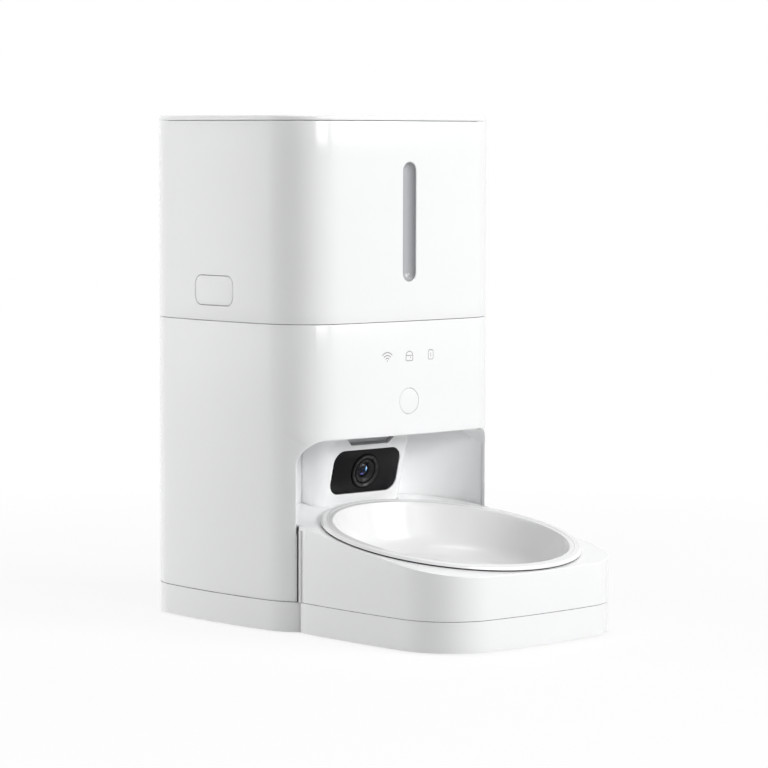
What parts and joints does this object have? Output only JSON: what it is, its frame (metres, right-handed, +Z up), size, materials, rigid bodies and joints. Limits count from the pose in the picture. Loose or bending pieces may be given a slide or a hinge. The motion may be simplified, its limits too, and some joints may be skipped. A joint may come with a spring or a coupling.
{
  "type": "automatic pet feeder",
  "caption": "Tower-shaped automatic pet feeder with a lift-off food tank, a paddle rotor, a tilted camera in a recess and a sloping tray that holds a removable bowl.",
  "frame": {"origin": "on the surface that the feeder stands on, under the middle of its bounding box", "axes": "+Z up, -Y towards the bowl and the camera's view, +X to the right of someone who faces the back of the bowl from the front"},
  "size_m": [0.184, 0.2852, 0.321],
  "materials": {
    "shell_white": "semi-gloss white",
    "button_white": "semi-gloss white",
    "bowl_white": "glossy white",
    "inner_white": "matt white",
    "inner_grey": "matt grey",
    "tank_grey": "smooth grey",
    "window_grey": "smoked translucent",
    "seal_rubber": "soft light grey",
    "paddle_rubber": "soft dark grey",
    "foot_rubber": "matt dark grey",
    "fleece": "fleece pouch",
    "gear_plastic": "natural acetal",
    "brass": "machined",
    "steel": "plain",
    "sensor_black": "matt black",
    "socket_black": "matt black",
    "panel_black": "polished black",
    "lens_ring_black": "satin black",
    "lens_black": "black",
    "lens_glass": "coated glass",
    "board_green": "lacquered",
    "led_clear": "tinted",
    "light_guide": "clear frosted",
    "cell_jacket": "printed sleeve, plain"
  },
  "bodies": {
    "housing": {"base_cover": "shell_white", "base_screws": "steel", "battery_box": "inner_grey", "battery_cells": "cell_jacket", "battery_contacts": "steel", "body_shell": "shell_white", "bowl_well": "inner_white", "button_spring": "steel", "camera_board": "board_green", "camera_panel": "panel_black", "camera_pod": "shell_white", "chute_sensors": "sensor_black", "feed_switch": "sensor_black", "food_chute": "inner_grey", "front_board": "board_green", "gear_cover": "inner_grey", "gearbox": "inner_grey", "ir_leds": "led_clear", "joining_plate": "inner_white", "joining_screws": "steel", "lens_barrel": "lens_black", "lens_glass": "lens_glass", "lens_ring": "lens_ring_black", "main_board": "board_green", "motor_can": "steel", "outlet_seal": "seal_rubber", "power_inlet": "socket_black", "recess_liner": "shell_white", "rotor_housing": "inner_white", "speaker": "sensor_black", "status_light_guide": "light_guide", "top_deck": "inner_white", "tower_feet": "foot_rubber", "tray_base": "shell_white", "tray_feet": "foot_rubber", "tray_shell": "shell_white"},
    "tank": {"hopper_shell": "shell_white", "hopper_tank": "tank_grey", "hopper_funnel": "tank_grey", "food_shelf": "tank_grey", "hopper_base": "inner_white", "level_window": "window_grey", "latch_spring_left": "steel", "latch_spring_right": "steel"},
    "lid": {"lid": "shell_white", "lid_seal": "seal_rubber"},
    "desiccant": {"desiccant_case": "inner_white", "desiccant_pack": "fleece"},
    "latch_left": {"latch_left": "shell_white"},
    "latch_right": {"latch_right": "shell_white"},
    "feed_button": {"feed_button": "button_white"},
    "rotor": {"rotor_hub": "inner_grey", "rotor_paddle": "paddle_rubber", "rotor_gear": "gear_plastic"},
    "drive": {"drive_pinion": "brass", "motor_shaft": "steel"},
    "bowl": {"bowl": "bowl_white"},
    "battery_door": {"battery_door": "shell_white"}
  },
  "joints": [
    {"name": "hopper_lift", "type": "slide", "parent": "housing", "child": "tank", "axis": [0, 0, 1], "range_m": [0, 0.15]},
    {"name": "lid_lift", "type": "slide", "parent": "tank", "child": "lid", "axis": [0, 0, 1], "range_m": [0, 0.06]},
    {"name": "desiccant_pull", "type": "slide", "parent": "lid", "child": "desiccant", "axis": [0, 0, -1], "range_m": [0, 0.025]},
    {"name": "latch_left_press", "type": "slide", "parent": "tank", "child": "latch_left", "axis": [1, 0, 0], "range_m": [0, 0.003], "stiffness_N_per_m": 800, "springref_m": -0.003, "deforming": ["latch_spring_left"]},
    {"name": "latch_right_press", "type": "slide", "parent": "tank", "child": "latch_right", "axis": [-1, 0, 0], "range_m": [0, 0.003], "stiffness_N_per_m": 800, "springref_m": -0.003, "deforming": ["latch_spring_right"]},
    {"name": "feed_button_press", "type": "slide", "parent": "housing", "child": "feed_button", "axis": [0, 1, 0], "range_m": [0, 0.0012], "stiffness_N_per_m": 1500, "springref_m": -0.0006, "deforming": ["button_spring"]},
    {"name": "rotor_turn", "type": "hinge", "parent": "housing", "child": "rotor", "pos_m": [0, 0.0644, 0.165], "axis": [0, 0, 1], "continuous": true},
    {"name": "motor_pinion_turn", "type": "hinge", "parent": "housing", "child": "drive", "pos_m": [0, 0.086, 0.143], "axis": [0, 0, 1], "continuous": true},
    {"name": "bowl_lift", "type": "slide", "parent": "housing", "child": "bowl", "axis": [0, -0.1594, 0.9872], "range_m": [0, 0.04]},
    {"name": "battery_door_open", "type": "slide", "parent": "housing", "child": "battery_door", "axis": [0, 0, -1], "range_m": [0, 0.04]}
  ],
  "couplings": [
    {"joint": "motor_pinion_turn", "follows": "rotor_turn", "ratio": -2.8571}
  ]
}
